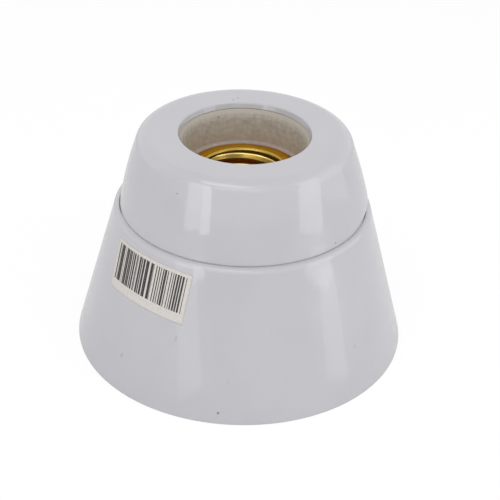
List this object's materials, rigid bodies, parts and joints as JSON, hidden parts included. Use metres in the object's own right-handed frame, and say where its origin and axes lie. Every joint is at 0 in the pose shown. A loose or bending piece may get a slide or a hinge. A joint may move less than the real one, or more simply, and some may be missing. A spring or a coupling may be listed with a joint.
{
  "type": "ceramic lamp holder",
  "caption": "Surface-mounted round lamp holder: a glazed cone base, a screw-on glazed cap, and a bare ceramic insert with a brass screw shell.",
  "frame": {"origin": "centre of the foot ring, on the surface that the lamp holder is screwed to", "axes": "+Z along the lamp axis, out of the socket's mouth; the two mounting holes lie along X; the paper label faces -X and -Y"},
  "size_m": [0.0998, 0.0998, 0.067],
  "materials": {
    "glazed_porcelain": "gloss",
    "bare_ceramic": "matte",
    "brass": "polished",
    "bronze": "satin",
    "zinc_steel": "satin",
    "label_paper": "matte"
  },
  "bodies": {
    "base": {"base_shell": "glazed_porcelain", "insert_body": "bare_ceramic", "screw_shell": "brass", "contact_rivet": "brass", "shell_rivet_side": "brass", "shell_rivet_back": "brass", "live_strip": "brass", "neutral_strip": "brass", "live_terminal": "brass", "neutral_terminal": "brass", "live_terminal_screw": "zinc_steel", "neutral_terminal_screw": "zinc_steel", "insert_screw_front": "zinc_steel", "insert_screw_back": "zinc_steel", "spring_washer_front": "zinc_steel", "spring_washer_back": "zinc_steel", "square_nut_front": "zinc_steel", "square_nut_back": "zinc_steel", "label_sticker": "label_paper"},
    "cap": {"cap": "glazed_porcelain"},
    "contact_leaf": {"centre_contact": "bronze"}
  },
  "joints": [
    {"name": "cap_lift", "type": "slide", "parent": "base", "child": "cap", "axis": [0, 0, 1], "range_m": [0, 0.045]},
    {"name": "contact_spring", "type": "hinge", "parent": "base", "child": "contact_leaf", "pos_m": [-0.006, 0, 0.03045], "axis": [0, 1, 0], "range_deg": [0, 8], "stiffness_Nm_per_rad": 0.1}
  ]
}
